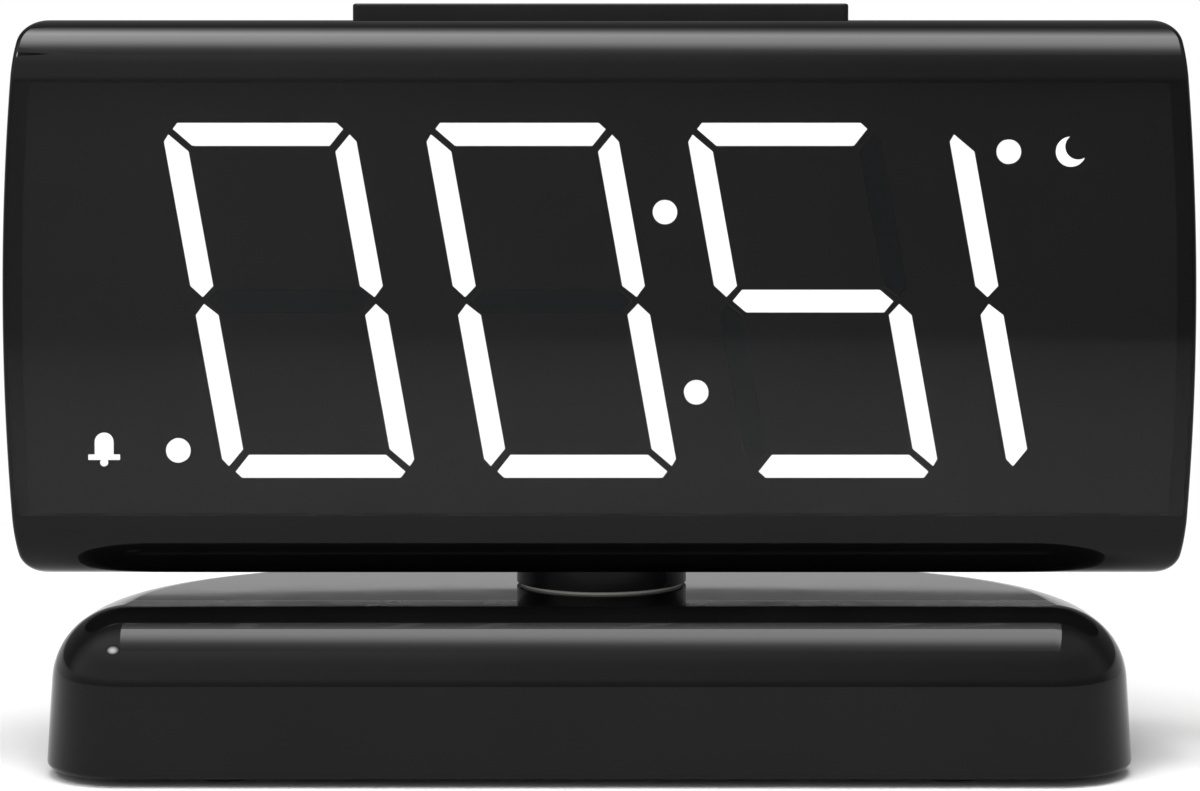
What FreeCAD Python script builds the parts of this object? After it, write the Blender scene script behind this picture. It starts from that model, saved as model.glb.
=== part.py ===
"""Digital alarm clock on a swivel base, as separate pieces.

Frame: millimetres, +Z up, the display faces -Y, +X to the right seen from the
front. The origin is the centre of the clock's footprint on the table.

The head is a case with a flat face, rolled top and bottom edges, bulged ends
and a bowed back. It turns on a short neck in a weighted base whose plan is
straight at the front and rounded at the back.
"""
import os
import math

import FreeCAD
import Part
import Sketcher
from FreeCAD import Vector, Placement, Rotation

os.makedirs("parts", exist_ok=True)
doc = FreeCAD.newDocument("alarm_clock")

# ---------------------------------------------------------------- sizes
SIZES = [
    # head case
    ("face_y", -20.0), ("back_y", 20.0), ("split_y", -10.0),
    ("head_low", 26.7), ("head_high", 104.9), ("roll_front", 9.0), ("roll_back", 12.0),
    ("low_half", 81.1), ("high_half", 81.1), ("end_bow", 390.0),
    ("head_corner", 3.7), ("back_round", 3.3), ("wall", 2.0), ("shield_gap", 0.15), ("shield_wall", 1.2),
    # display
    ("digit_a_x", -61.0), ("digit_b_x", -24.5), ("digit_c_x", 11.9), ("digit_d_x", 48.25),
    ("digit_top_z", 90.2), ("lean", 0.18), ("guide_front", -17.9), ("guide_back", -14.0),
    ("dot_radius", 1.69), ("window_gap", 0.06),
    ("sheet_y", -13.9), ("sheet_thick", 0.4), ("chip_y", -13.3), ("ledboard_y", -12.0), ("board_thick", 1.6),
    # rear controls
    ("mainboard_y", 4.4), ("button_wide", 11.0), ("button_tall", 5.4), ("button_z", 86.8),
    ("button_step", 18.0), ("button_proud", 0.9), ("button_gap", 0.3), ("button_base_y", 15.2),
    ("control_z", 70.0), ("slider_x", -22.0), ("slider_travel", 3.0),
    ("wheel_x", 22.0), ("wheel_y", 14.2), ("wheel_radius", 8.0), ("wheel_thick", 3.2),
    ("port_floor", 18.2), ("port_z", 41.0), ("door_x", 30.0), ("door_z", 51.0), ("door_side", 24.0),
    ("buzzer_x", -30.0), ("buzzer_z", 51.0), ("grille_hole", 0.8),
    ("screw_x", 71.0), ("screw_low_z", 36.8), ("screw_high_z", 96.5),
    # snooze bar
    ("bar_wide", 71.0), ("bar_deep", 14.0), ("bar_top", 107.6), ("bar_gap", 0.3),
    # base and swivel
    ("base_x", -1.4), ("base_wide", 150.9), ("base_deep", 60.0), ("base_low", 1.1), ("base_top", 23.1),
    ("base_front_corner", 12.0), ("base_back_corner", 46.0), ("base_roll", 10.3),
    ("base_draft", 3.5), ("base_wall", 2.2), ("cover_gap", 0.15), ("cover_thick", 2.0),
    ("neck_y", 3.0), ("collar_radius", 12.45), ("spigot_radius", 7.05), ("bush_bore", 7.1),
    ("bush_radius", 9.0), ("bush_low", 14.0), ("collar_low", 23.5),
    ("foot_radius", 5.5), ("foot_thick", 2.1),
]
sheet = doc.addObject("Spreadsheet::Sheet", "Sizes")
for row, (alias, value) in enumerate(SIZES, start=1):
    sheet.set("A%d" % row, alias)
    sheet.set("B%d" % row, str(value))
    sheet.setAlias("B%d" % row, alias)
doc.recompute()


class Q:
    """A size: its value now, and the expression over the sheet that gives it."""

    def __init__(self, v, s=None):
        self.v = float(v)
        self.s = s if s is not None else repr(float(v))

    def __add__(self, o):
        o = q(o)
        return Q(self.v + o.v, "(%s + %s)" % (self.s, o.s))

    __radd__ = __add__

    def __sub__(self, o):
        o = q(o)
        return Q(self.v - o.v, "(%s - %s)" % (self.s, o.s))

    def __rsub__(self, o):
        return q(o) - self

    def __mul__(self, o):
        o = q(o)
        return Q(self.v * o.v, "(%s * %s)" % (self.s, o.s))

    __rmul__ = __mul__

    def __truediv__(self, o):
        o = q(o)
        return Q(self.v / o.v, "(%s / %s)" % (self.s, o.s))

    def __neg__(self):
        return Q(-self.v, "(0 - %s)" % self.s)


def q(x):
    return x if isinstance(x, Q) else Q(x)


def root(x):
    return Q(math.sqrt(x.v), "sqrt(%s)" % x.s)


K = {alias: Q(value, "Sizes.%s" % alias) for alias, value in SIZES}


def bind(obj, prop, size):
    """Sets a property and ties it to the sheet."""
    size = q(size)
    if "." not in prop:
        setattr(obj, prop, size.v)
    if "Sizes" in size.s:
        obj.setExpression(prop, size.s)


def place(obj, x=0, y=0, z=0, rotation=None):
    x, y, z = q(x), q(y), q(z)
    obj.Placement = Placement(Vector(x.v, y.v, z.v), rotation or Rotation())
    for axis, size in (("x", x), ("y", y), ("z", z)):
        if "Sizes" in size.s:
            obj.setExpression("Placement.Base.%s" % axis, size.s)
    return obj


count = [0]


def fresh(stem):
    count[0] += 1
    return "%s_%03d" % (stem, count[0])


def box(x0, x1, y0, y1, z0, z1):
    """A block between two corners."""
    x0, x1, y0, y1, z0, z1 = map(q, (x0, x1, y0, y1, z0, z1))
    b = doc.addObject("Part::Box", fresh("block"))
    bind(b, "Length", x1 - x0)
    bind(b, "Width", y1 - y0)
    bind(b, "Height", z1 - z0)
    return place(b, x0, y0, z0)


UP = Rotation()
BACK = Rotation(Vector(1, 0, 0), -90)  # a cylinder's own +Z turned to +Y
RIGHT = Rotation(Vector(0, 1, 0), 90)  # turned to +X


def rod(radius, length, x, y, z, way=UP):
    """A cylinder from a point, up (+Z), back (+Y) or right (+X)."""
    c = doc.addObject("Part::Cylinder", fresh("rod"))
    bind(c, "Radius", radius)
    bind(c, "Height", length)
    return place(c, x, y, z, way)


def cut(base, *tools):
    tool = tools[0] if len(tools) == 1 else fuse(*tools)
    c = doc.addObject("Part::Cut", fresh("cut"))
    c.Base, c.Tool = base, tool
    return c


def fuse(*shapes):
    if len(shapes) == 1:
        return shapes[0]
    f = doc.addObject("Part::MultiFuse", fresh("fuse"))
    f.Shapes = list(shapes)
    return f


def common(*shapes):
    c = doc.addObject("Part::MultiCommon", fresh("common"))
    c.Shapes = list(shapes)
    return c


def group(*shapes):
    g = doc.addObject("Part::Compound", fresh("group"))
    g.Links = list(shapes)
    return g


def plane_of(body, role):
    for f in body.Origin.OriginFeatures:
        if f.Role == role:
            return f


def contour(sk, corners, radii=None, sides=None):
    """Adds a closed outline to a sketch. corners are (x, y) sizes. radii rounds a
    corner. sides bows the side that follows a corner: (radius, +1 outwards)."""
    radii, sides = radii or {}, sides or {}
    n = len(corners)
    pts = [(q(a), q(b)) for a, b in corners]

    def along(i, j, d):
        """The point at distance d from corner i towards corner j, for level or upright sides."""
        (ax, ay), (bx, by) = pts[i], pts[j]
        if abs(bx.v - ax.v) > abs(by.v - ay.v):
            return (ax + d, ay) if bx.v > ax.v else (ax - d, ay)
        return (ax, ay + d) if by.v > ay.v else (ax, ay - d)

    chain = []  # (kind, start, end, radius, centre guess)
    for i in range(n):
        r = radii.get(i)
        if r is not None:
            a, b = along(i, (i - 1) % n, r), along(i, (i + 1) % n, r)
            centre = (a[0].v + b[0].v - pts[i][0].v, a[1].v + b[1].v - pts[i][1].v)
            chain.append(("arc", a, b, r, centre))
            here = b
        else:
            here = pts[i]
        j = (i + 1) % n
        there = along(j, i, radii[j]) if j in radii else pts[j]
        if i in sides:
            r, out = sides[i]
            ax, ay, bx, by = here[0].v, here[1].v, there[0].v, there[1].v
            half = math.hypot(bx - ax, by - ay) / 2
            rise = math.sqrt(r.v ** 2 - half ** 2)
            nx, ny = (by - ay) / (2 * half), -(bx - ax) / (2 * half)  # outwards when the outline runs anticlockwise
            centre = ((ax + bx) / 2 - nx * rise * out, (ay + by) / 2 - ny * rise * out)
            chain.append(("arc", here, there, r, centre))
        elif math.hypot(there[0].v - here[0].v, there[1].v - here[1].v) > 1e-6:
            chain.append(("line", here, there, None, None))
    first = sk.GeometryCount
    for kind, a, b, r, c in chain:
        va, vb = Vector(a[0].v, a[1].v, 0), Vector(b[0].v, b[1].v, 0)
        if kind == "line":
            sk.addGeometry(Part.LineSegment(va, vb), False)
        else:
            vc = Vector(c[0], c[1], 0)
            a0 = math.atan2(va.y - vc.y, va.x - vc.x)
            a1 = math.atan2(vb.y - vc.y, vb.x - vc.x)
            while a1 < a0:
                a1 += 2 * math.pi
            sk.addGeometry(Part.ArcOfCircle(Part.Circle(vc, Vector(0, 0, 1), r.v), a0, a1), False)
    m = len(chain)
    for k in range(m):
        sk.addConstraint(Sketcher.Constraint("Coincident", first + k, 2, first + (k + 1) % m, 1))
    for k, (kind, a, b, r, c) in enumerate(chain):
        for axis, size in (("X", a[0]), ("Y", a[1])):
            if abs(size.v) < 1e-9:
                continue
            name = "%s%d_%d" % (axis.lower(), first, k)
            if size.v > 0:
                con = Sketcher.Constraint("Distance" + axis, -1, 1, first + k, 1, size.v)
            else:
                con = Sketcher.Constraint("Distance" + axis, first + k, 1, -1, 1, -size.v)
                size = -size
            con.Name = name
            sk.addConstraint(con)
            if "Sizes" in size.s:
                sk.setExpression("Constraints." + name, size.s)
        if r is not None:
            con = Sketcher.Constraint("Radius", first + k, r.v)
            con.Name = "r%d_%d" % (first, k)
            sk.addConstraint(con)
            if "Sizes" in r.s:
                sk.setExpression("Constraints." + con.Name, r.s)


def circle(sk, x, y, r):
    x, y, r = q(x), q(y), q(r)
    k = sk.addGeometry(Part.Circle(Vector(x.v, y.v, 0), Vector(0, 0, 1), r.v), False)
    for tag, size, kind in (("x", x, "DistanceX"), ("y", y, "DistanceY")):
        if abs(size.v) < 1e-9:
            continue
        if size.v > 0:
            con = Sketcher.Constraint(kind, -1, 1, k, 3, size.v)
        else:
            con, size = Sketcher.Constraint(kind, k, 3, -1, 1, -size.v), -size
        con.Name = "c%s%d" % (tag, k)
        sk.addConstraint(con)
        if "Sizes" in size.s:
            sk.setExpression("Constraints." + con.Name, size.s)
    con = Sketcher.Constraint("Radius", k, r.v)
    con.Name = "cr%d" % k
    sk.addConstraint(con)
    if "Sizes" in r.s:
        sk.setExpression("Constraints." + con.Name, r.s)


ROLE = {"top": "XY_Plane", "front": "XZ_Plane", "side": "YZ_Plane"}


def body_pad(view, draw, start, end, taper=0):
    """A PartDesign body: one sketch on the top, front or side plane, padded from
    start to end along +Z, +Y or +X."""
    start, end = q(start), q(end)
    body = doc.addObject("PartDesign::Body", fresh("body"))
    sk = body.newObject("Sketcher::SketchObject", fresh("sketch"))
    sk.AttachmentSupport = [(plane_of(body, ROLE[view]), "")]
    sk.MapMode = "FlatFace"
    # the front plane's normal is -Y, so its offset and pad run the other way
    offset = -start if view == "front" else start
    sk.AttachmentOffset = Placement(Vector(0, 0, offset.v), Rotation())
    if "Sizes" in offset.s:
        sk.setExpression("AttachmentOffset.Base.z", offset.s)
    draw(sk)
    pad = body.newObject("PartDesign::Pad", fresh("pad"))
    pad.Profile = sk
    bind(pad, "Length", end - start)
    pad.Reversed = view == "front"
    if q(taper).v:
        bind(pad, "TaperAngle", -q(taper))
    sk.Visibility = False
    return body


def extrude(view, draw, start, end):
    """A sketch with any number of outlines, raised into separate solids along +Y or +Z."""
    start, end = q(start), q(end)
    sk = doc.addObject("Sketcher::SketchObject", fresh("outline"))
    rotation = Rotation(Vector(1, 0, 0), 90) if view == "front" else Rotation()
    if view == "front":
        place(sk, 0, start, 0, rotation)
    else:
        place(sk, 0, 0, start, rotation)
    draw(sk)
    ex = doc.addObject("Part::Extrusion", fresh("raised"))
    ex.Base = sk
    ex.DirMode = "Custom"
    ex.Dir = Vector(0, 1, 0) if view == "front" else Vector(0, 0, 1)
    bind(ex, "LengthFwd", end - start)
    ex.Solid = True
    sk.Visibility = False
    return ex


PARTS = {}


def part(name, obj):
    """Names a finished sub-part."""
    obj.Label = name
    PARTS[name] = obj
    return obj


# ---------------------------------------------------------------- head case
def add_chain(sk, chain):
    """Adds a closed chain of lines and anticlockwise arcs, each end pinned to the sheet."""
    first = sk.GeometryCount
    m = len(chain)
    for kind, a, b, r in chain:
        a, b = (q(a[0]), q(a[1])), (q(b[0]), q(b[1]))
        va, vb = Vector(a[0].v, a[1].v, 0), Vector(b[0].v, b[1].v, 0)
        if kind == "line":
            sk.addGeometry(Part.LineSegment(va, vb), False)
        else:
            r = q(r)
            d = vb - va
            half = d.Length / 2
            rise = math.sqrt(max(r.v ** 2 - half ** 2, 0))
            left = Vector(-d.y, d.x, 0).normalize()
            vc = (va + vb) * 0.5 + left * rise  # the centre is on the left of an anticlockwise arc
            a0 = math.atan2(va.y - vc.y, va.x - vc.x)
            a1 = math.atan2(vb.y - vc.y, vb.x - vc.x)
            while a1 < a0:
                a1 += 2 * math.pi
            sk.addGeometry(Part.ArcOfCircle(Part.Circle(vc, Vector(0, 0, 1), r.v), a0, a1), False)
    for k in range(m):
        sk.addConstraint(Sketcher.Constraint("Coincident", first + k, 2, first + (k + 1) % m, 1))
    for k, (kind, a, b, r) in enumerate(chain):
        for axis, size in (("X", q(a[0])), ("Y", q(a[1]))):
            if abs(size.v) < 1e-9:
                continue
            if size.v > 0:
                con = Sketcher.Constraint("Distance" + axis, -1, 1, first + k, 1, size.v)
            else:
                con = Sketcher.Constraint("Distance" + axis, first + k, 1, -1, 1, -size.v)
                size = -size
            con.Name = "%s%d_%d" % (axis.lower(), first, k)
            sk.addConstraint(con)
            if "Sizes" in size.s:
                sk.setExpression("Constraints." + con.Name, size.s)
        if r is not None:
            con = Sketcher.Constraint("Radius", first + k, q(r).v)
            con.Name = "r%d_%d" % (first, k)
            sk.addConstraint(con)
            if "Sizes" in q(r).s:
                sk.setExpression("Constraints." + con.Name, q(r).s)


HALF_X = 95  # beyond the head's ends
forms = {}


def head_form(inset):
    """The head's closed outer form, taken in by inset all round."""
    inset = q(inset)
    if inset.s in forms:
        return forms[inset.s]
    f, k = K["face_y"] + inset, K["back_y"] - inset
    lo, hi = K["head_low"] + inset, K["head_high"] - inset

    def side(sk):  # Y to the right, Z up: flat face, rolled top and bottom edges
        r, b = K["roll_front"] - inset, K["roll_back"] - inset
        contour(sk, [(f, lo), (k, lo), (k, hi), (f, hi)], {0: r, 1: b, 2: b, 3: r})

    rolled = body_pad("side", side, -HALF_X, HALF_X)

    def front(sk):  # X to the right, Z up: bowed ends and rounded corners
        r = K["head_corner"] - inset
        hl, hh, big = K["low_half"] - inset, K["high_half"] - inset, K["end_bow"] - inset
        x1, x2, u1, u2 = hl - r * 0.0037, hh - r * 0.0037, lo + r * 0.914, hi - r * 0.914
        add_chain(sk, [
            ("line", (r - hl, lo), (hl - r, lo), None),
            ("arc", (hl - r, lo), (x1, u1), r),
            ("arc", (x1, u1), (x2, u2), big),
            ("arc", (x2, u2), (hh - r, hi), r),
            ("line", (hh - r, hi), (r - hh, hi), None),
            ("arc", (r - hh, hi), (-x2, u2), r),
            ("arc", (-x2, u2), (-x1, u1), big),
            ("arc", (-x1, u1), (r - hl, lo), r),
        ])

    ended = body_pad("front", front, f, k)
    doc.recompute()
    for level, size in ((k, K["back_round"] - inset), (f, Q(0.7) - inset)):
        if size.v < 0.2:
            continue
        edges = []
        for i, e in enumerate(ended.Shape.Edges, start=1):
            b = e.BoundBox
            if abs(b.YMin - level.v) < 1e-6 and abs(b.YMax - level.v) < 1e-6:
                edges.append("Edge%d" % i)
        last = ended.Tip
        fillet = ended.newObject("PartDesign::Fillet", fresh("round"))
        fillet.Base = (last, edges)
        bind(fillet, "Radius", size)
        ended.Tip = fillet
        doc.recompute()
    forms[inset.s] = common(rolled, ended)
    return forms[inset.s]


def slab(y0, y1):
    """Everything between two depths."""
    return box(-HALF_X, HALF_X, y0, y1, 0, 130)


w, gap = K["wall"], K["shield_gap"]
split, back, high, low = K["split_y"], K["back_y"], K["head_high"], K["head_low"]
outer, inner = head_form(0), head_form(w)
shadow = cut(outer, head_form(0.4))

part("front_cover", cut(common(outer, slab(-30, split)), inner,
                        common(shadow, slab(split - 0.2, split))))

# ---------------------------------------------------------------- display
TALL, WIDE, MID = 49.4, 26.7, 24.8
SEG = {"a": [(2.33, 0), (24.37, 0), (25.15, 0.84), (22.9, 3.15), (3.8, 3.15), (1.55, 0.84)],
       "f": [(0.75, 1.64), (3.12, 4.0), (3.12, 22.66), (1.4, 24.2), (0, 22.66), (0, 2.62)],
       "g": [(2.2, MID), (3.75, MID - 1.55), (22.95, MID - 1.55), (24.5, MID), (22.95, MID + 1.55), (3.75, MID + 1.55)]}
SEG["b"] = [(WIDE - u, v) for u, v in reversed(SEG["f"])]
SEG["d"] = [(u, TALL - v) for u, v in reversed(SEG["a"])]
SEG["e"] = [(u, TALL - v) for u, v in reversed(SEG["f"])]
SEG["c"] = [(u, TALL - v) for u, v in reversed(SEG["b"])]


def widened(points, by):
    """The outline moved outwards by a small amount."""
    if not by:
        return points
    n, out = len(points), []
    area = sum(points[i][0] * points[(i + 1) % n][1] - points[(i + 1) % n][0] * points[i][1] for i in range(n))
    sign = 1 if area > 0 else -1
    for i in range(n):
        (ax, ay), (bx, by_), (cx, cy) = points[i - 1], points[i], points[(i + 1) % n]
        d1, d2 = math.hypot(bx - ax, by_ - ay), math.hypot(cx - bx, cy - by_)
        n1 = (sign * (by_ - ay) / d1, -sign * (bx - ax) / d1)
        n2 = (sign * (cy - by_) / d2, -sign * (cx - bx) / d2)
        s = by / (1 + n1[0] * n2[0] + n1[1] * n2[1])
        out.append((bx + s * (n1[0] + n2[0]), by_ + s * (n1[1] + n2[1])))
    return out


def segment(x0, key, grow, y0, y1):
    """One bar of a digit, leaning with the digit."""
    def draw(sk):
        pts = [(x0 + u + K["lean"] * v, K["digit_top_z"] - v) for u, v in widened(SEG[key], grow)]
        if sum(pts[i - 1][0].v * pts[i][1].v - pts[i][0].v * pts[i - 1][1].v for i in range(len(pts))) < 0:
            pts.reverse()
        add_chain(sk, [("line", pts[i], pts[(i + 1) % len(pts)], None) for i in range(len(pts))])
    return extrude("front", draw, y0, y1)


LIT = {"digit_a_x": "abcdef", "digit_b_x": "abcdef", "digit_c_x": "afgcd", "digit_d_x": "ef"}
COLON = [(9.1, 77.8), (13.46, 52.7)]
NIGHT, WAKE = (56.9, 86.2), (-58.7, 44.6)
gf, gb = K["guide_front"], K["guide_back"]
lit, unlit, windows, chips = [], [], [], []
for digit, on in LIT.items():
    for key in "abcdefg" if digit != "digit_d_x" else on:  # the last place shows only two bars
        (lit if key in on else unlit).append(segment(K[digit], key, 0, gf, gb))
        windows.append(segment(K[digit], key, K["window_gap"].v, -19, -15))
        mu = sum(p[0] for p in SEG[key]) / 6
        mv = sum(p[1] for p in SEG[key]) / 6
        cx, cz = K[digit] + mu + K["lean"] * mv, K["digit_top_z"] - mv
        chips.append(box(cx - 1.5, cx + 1.5, K["chip_y"], K["ledboard_y"], cz - 1.0, cz + 1.0))
for x, z in COLON + [NIGHT, WAKE]:
    windows.append(rod(K["dot_radius"] + K["window_gap"], 4, x, -19, z, BACK))
    chips.append(box(x - 1.0, x + 1.0, K["chip_y"], K["ledboard_y"], z - 1.0, z + 1.0))


def dots(spots):
    return group(*[rod(K["dot_radius"], gb - gf, x, gf, z, BACK) for x, z in spots])


part("lit_segments", group(*lit))
part("unlit_segments", group(*unlit))
part("colon_dots", dots(COLON))
part("indicator_dots", dots([NIGHT, WAKE]))

# crescent and bell printed on the inside of the cover
py0, pyt = -17.98, 0.1
moon = cut(rod(2.1, pyt, 65.5, py0, 86.2, BACK), rod(1.8, 1, 66.5, py0 - 0.4, 86.9, BACK))
bell = fuse(rod(1.3, pyt, -69.0, py0, 45.8, BACK), box(-70.3, -67.7, py0, py0 + pyt, 44.0, 45.8),
            box(-71.2, -66.8, py0, py0 + pyt, 43.3, 44.05), rod(0.55, pyt, -69.0, py0, 42.95, BACK))
part("label_icons", group(moon, bell))

SCREWS = [(sx * K["screw_x"], z) for z in (K["screw_low_z"], K["screw_high_z"]) for sx in (-1, 1)]
LED_SCREWS = [(sx * 63.5, z) for z in (37.0, 97.5) for sx in (-1, 1)]
shield = cut(common(head_form(w + gap), slab(-30, split - 2.2)), head_form(w + gap + K["shield_wall"]))
posts = [rod(3.4, 14.7, x, -16.7, z, BACK) for x, z in SCREWS] + [rod(2.2, 4.7, x, -16.7, z, BACK) for x, z in LED_SCREWS]
holes = [rod(1.25, 12, x, -14.0, z, BACK) for x, z in SCREWS] + [rod(0.9, 4, x, -15.0, z, BACK) for x, z in LED_SCREWS]
part("light_shield", cut(fuse(shield, *posts), fuse(*windows), fuse(*holes)))
part("diffuser_sheet", box(-61, 62, K["sheet_y"], K["sheet_y"] + K["sheet_thick"], 39.6, 91.2))
board_y = K["ledboard_y"]
part("led_chips", group(*chips))
part("led_board", cut(box(-66, 66, board_y, board_y + K["board_thick"], 35, 99.5),
                      *([rod(1.1, 6, x, board_y - 2, z, BACK) for x, z in LED_SCREWS]
                        + [rod(3.9, 6, x, board_y - 2, z, BACK) for x, z in SCREWS])))
led_back = board_y + K["board_thick"]
part("display_screws", group(*[fuse(rod(1.8, 1.2, x, led_back, z, BACK), rod(0.9, 4.6, x, led_back - 4.5, z, BACK))
                               for x, z in LED_SCREWS]))

# ---------------------------------------------------------------- rear cover
bar_half, bar_deep = K["bar_wide"] / 2, K["bar_deep"] / 2
bg = K["bar_gap"]
shell = cut(common(outer, slab(split, 30)), inner, common(shadow, slab(split, split + 0.2)))
lip = fuse(common(cut(head_form(1.5), head_form(w + gap + 0.8)), slab(split, split + 2)),
           common(cut(head_form(w + gap), head_form(w + gap + 1.0)), slab(split - 2, split + 0.1)))
lip = cut(lip, box(-3 - bar_half, bar_half + 3, split - 3, split + 4, high - 5, high - w))
tubes = [rod(3.9, 20.5, x, -2, z, BACK) for x, z in SCREWS]
BOARD_SCREWS = [(sx * 45.0, z) for z in (40.0, 90.5) for sx in (-1, 1)]
mb = K["mainboard_y"] + K["board_thick"]
tubes += [rod(2.4, 18.2 - mb.v, x, mb, z, BACK) for x, z in BOARD_SCREWS]
# arms for the snooze switch's board
shelf = [box(-16, -12, -4, 18.2, 93.3, 95.0), box(12, 16, -4, 18.2, 93.3, 95.0)]
walls = cut(fuse(shell, lip, *tubes, *shelf), cut(slab(split - 4, 40), outer))
cuts = []
for x, z in SCREWS:
    cuts += [rod(3.0, 30, x, 0, z, BACK), rod(1.5, 8, x, -4, z, BACK)]
cuts += [rod(0.9, 10, x, mb - 1, z, BACK) for x, z in BOARD_SCREWS]
cuts.append(box(-bar_half - bg, bar_half + bg, -bar_deep - bg, bar_deep + bg, high - 5, high + 5))
cuts.append(rod(6.7, 8, 0, K["neck_y"], low - 2))
NECK_SCREWS = [(9.0 * math.cos(math.radians(a)), 9.0 * math.sin(math.radians(a))) for a in (20, 160, 270)]
cuts += [rod(1.2, 8, x, K["neck_y"] + y, low - 2) for x, y in NECK_SCREWS]
bw, bt, bgap = K["button_wide"] / 2, K["button_tall"] / 2, K["button_gap"]
BUTTONS = {"time_button": -1.5, "alarm_button": -0.5, "minus_button": 0.5, "plus_button": 1.5}


def rounded(half_x, half_z, x, z, r):
    def draw(sk):
        contour(sk, [(x - half_x, z - half_z), (x + half_x, z - half_z), (x + half_x, z + half_z), (x - half_x, z + half_z)],
                {i: q(r) for i in range(4)})
    return draw


for name, place_at in BUTTONS.items():
    bx = K["button_step"] * place_at
    cuts.append(body_pad("front", rounded(bw + bgap, bt + bgap, bx, K["button_z"], 1.5), 15, 24))
sx, cz = K["slider_x"], K["control_z"]
cuts.append(body_pad("front", rounded(Q(2.5) + K["slider_travel"] / 2 + 0.3, Q(2.0), sx, cz, 0.5), 15, 24))
wx, wy, wr = K["wheel_x"], K["wheel_y"], K["wheel_radius"]
cuts.append(box(wx - 7.6, wx + 7.6, 15, 24, cz - 2.1, cz + 2.1))
dx, dz, ds = K["door_x"], K["door_z"], K["door_side"] / 2
cuts.append(body_pad("front", rounded(ds, ds, dx, dz, 1.5), back - 1.3, 24))
cuts.append(body_pad("front", rounded(ds - 1.2, ds - 1.2, dx, dz, 1.0), 15, 24))
px, pz = Q(0), K["port_z"]
cuts.append(body_pad("front", rounded(Q(6.4), Q(3.5), px, pz, 2.0), K["port_floor"] - 0.5, 24))
sbx, sbz = K["buzzer_x"], K["buzzer_z"]
for ring, n in ((0, 1), (3.2, 6), (6.4, 12)):
    for i in range(n):
        a = 2 * math.pi * i / n
        cuts.append(rod(K["grille_hole"], 6, sbx + ring * math.cos(a), 16, sbz + ring * math.sin(a), BACK))
part("rear_cover", cut(walls, fuse(*cuts)))

part("rear_screws", group(*[fuse(rod(2.7, 1.8, x, 0, z, BACK), rod(1.25, 12.0, x, -11.9, z, BACK)) for x, z in SCREWS]))

# ---------------------------------------------------------------- boards and inner pieces
my = K["mainboard_y"]
part("main_board", cut(box(-49, 49, my, mb, 36.5, 93.1), *[rod(1.1, 6, x, my - 2, z, BACK) for x, z in BOARD_SCREWS]))
part("board_screws", group(*[fuse(rod(1.9, 1.3, x, my - 1.3, z, BACK), rod(0.9, 6.4, x, my - 0.1, z, BACK)) for x, z in BOARD_SCREWS]))
part("main_chip", group(box(-16, -6, my - 1.3, my, 70, 80), box(4, 9, my - 1.1, my, 72, 77)))
part("board_connector", box(-8, 8, led_back, my, 58, 62))
keys = []
for name, place_at in BUTTONS.items():
    bx = K["button_step"] * place_at
    keys += [fuse(box(bx - 3, bx + 3, mb, mb + 6.0, K["button_z"] - 3, K["button_z"] + 3),
                  rod(1.7, 2.3, bx, mb + 5.9, K["button_z"], BACK))]
part("key_switches", group(*keys))
part("alarm_switch_body", cut(box(sx - 6, sx + 6, mb, 15.2, cz - 3, cz + 3), box(sx - 4.9, sx + 4.9, 13.2, 16, cz - 1.2, cz + 1.2)))
part("dimmer_pot", cut(fuse(box(wx - 4, wx + 4, mb, mb + 12.0, cz - 6.5, cz - 2.6),
                            rod(1.5, 6.4, wx, wy, cz - 2.7)),
                       box(wx - 4, wx + 4, mb + 11.0, mb + 13, cz - 7, cz - 2)))
part("power_inlet", cut(fuse(body_pad("front", rounded(Q(4.5), Q(1.6), px, pz, 1.59), mb, K["port_floor"])),
                        cut(body_pad("front", rounded(Q(4.2), Q(1.3), px, pz, 1.29), K["port_floor"] - 6.8, 24),
                            box(-3.35, 3.35, 10, K["port_floor"] - 0.8, pz - 0.35, pz + 0.35))))
part("sounder", cut(rod(10.5, 5.0, sbx, 12.8, sbz, BACK), rod(1.2, 2, sbx, 16.6, sbz, BACK)))
part("cell_holder", cut(box(dx - 12.2, dx + 12.2, mb, 17.8, dz - 12.2, dz + 12.2),
                        rod(10.2, 10, dx, 13.2, dz, BACK), box(dx - 10.6, dx + 10.6, 17.0, 19, dz - 10.6, dz + 10.6)))
part("cell_contact", fuse(box(dx - 3, dx + 3, 13.2, 13.5, dz - 8, dz + 8)))
part("backup_cell", fuse(rod(10.0, 2.6, dx, 14.1, dz, BACK), rod(8.9, 0.6, dx, 13.5, dz, BACK)))
part("snooze_board", box(-16, 16, -3.6, 3.6, 95.0, 96.6))
part("snooze_switch", fuse(box(-3, 3, -3, 3, 96.6, 98.5), rod(1.7, 0.9, 0, 0, 98.4)))

# ---------------------------------------------------------------- moving pieces
bar_top = K["bar_top"]
cap = body_pad("top", lambda sk: contour(sk, [(-bar_half, -bar_deep), (bar_half, -bar_deep), (bar_half, bar_deep), (-bar_half, bar_deep)],
                                         {i: Q(0.8) for i in range(4)}), high - w - 1.4, bar_top)
doc.recompute()
edges = ["Edge%d" % i for i, e in enumerate(cap.Shape.Edges, start=1)
         if abs(e.BoundBox.ZMin - bar_top.v) < 1e-6 and abs(e.BoundBox.ZMax - bar_top.v) < 1e-6]
last = cap.Tip
soft = cap.newObject("PartDesign::Fillet", fresh("round"))
soft.Base = (last, edges)
soft.Radius = 0.35
cap.Tip = soft
flange = box(-bar_half - 1.5, bar_half + 1.5, -bar_deep - 1.0, bar_deep + 1.5, high - w - 1.6, high - w - 0.4)
part("snooze_bar", fuse(cap, flange, rod(2.5, 3.2, 0, 0, 100.7 - 0.1)))

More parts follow.
